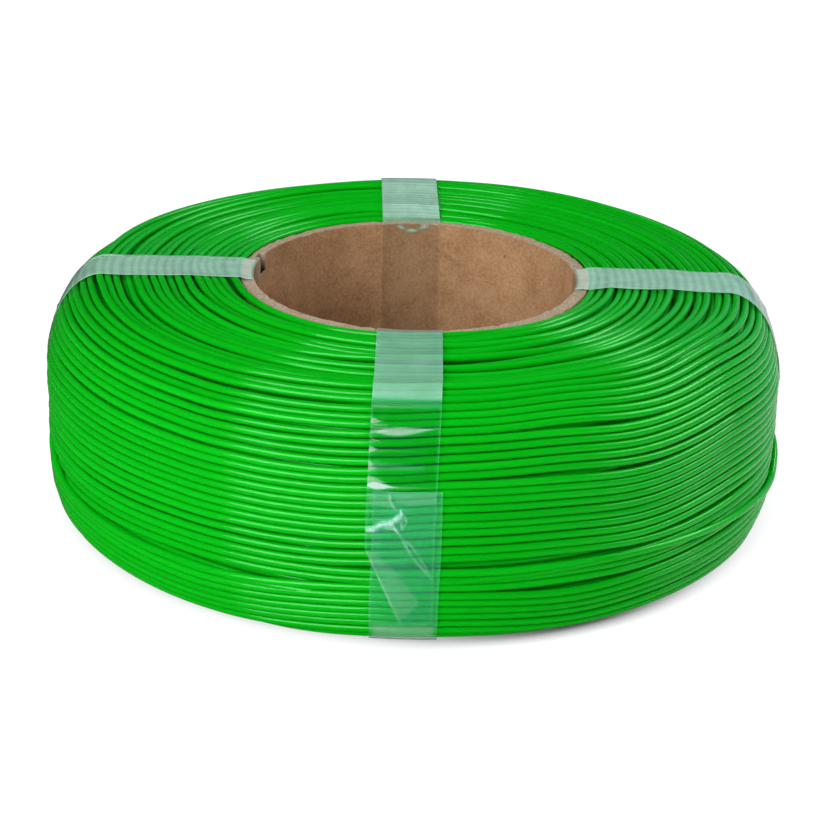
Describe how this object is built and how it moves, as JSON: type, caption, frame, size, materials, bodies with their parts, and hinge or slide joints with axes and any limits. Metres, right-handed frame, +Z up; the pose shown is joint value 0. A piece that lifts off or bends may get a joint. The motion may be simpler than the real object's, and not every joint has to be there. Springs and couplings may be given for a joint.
{
  "type": "filament refill coil",
  "caption": "Flangeless refill coil of green 3D-printer filament wound on a cardboard core and held by clear tape bands.",
  "frame": {"origin": "on the core's axis, at the level the coil rests on, which is the underside of its tape bands", "axes": "+Z up along the core's axis, -Y towards the front of the picture, +X to its right"},
  "size_m": [0.1816, 0.1816, 0.057],
  "materials": {
    "kraft_cardboard": "matte brown kraft paper tube with pale cut ends",
    "green_filament": "smooth glossy bright green plastic strand",
    "clear_tape": "thin clear packing film, glossy, milky where it mirrors the sky"
  },
  "bodies": {
    "root": {"core_tube": "kraft_cardboard", "filament_winding": "green_filament", "filament_outer_turns": "green_filament", "tape_front": "clear_tape", "tape_right": "clear_tape", "tape_back": "clear_tape", "tape_left": "clear_tape"}
  },
  "joints": []
}
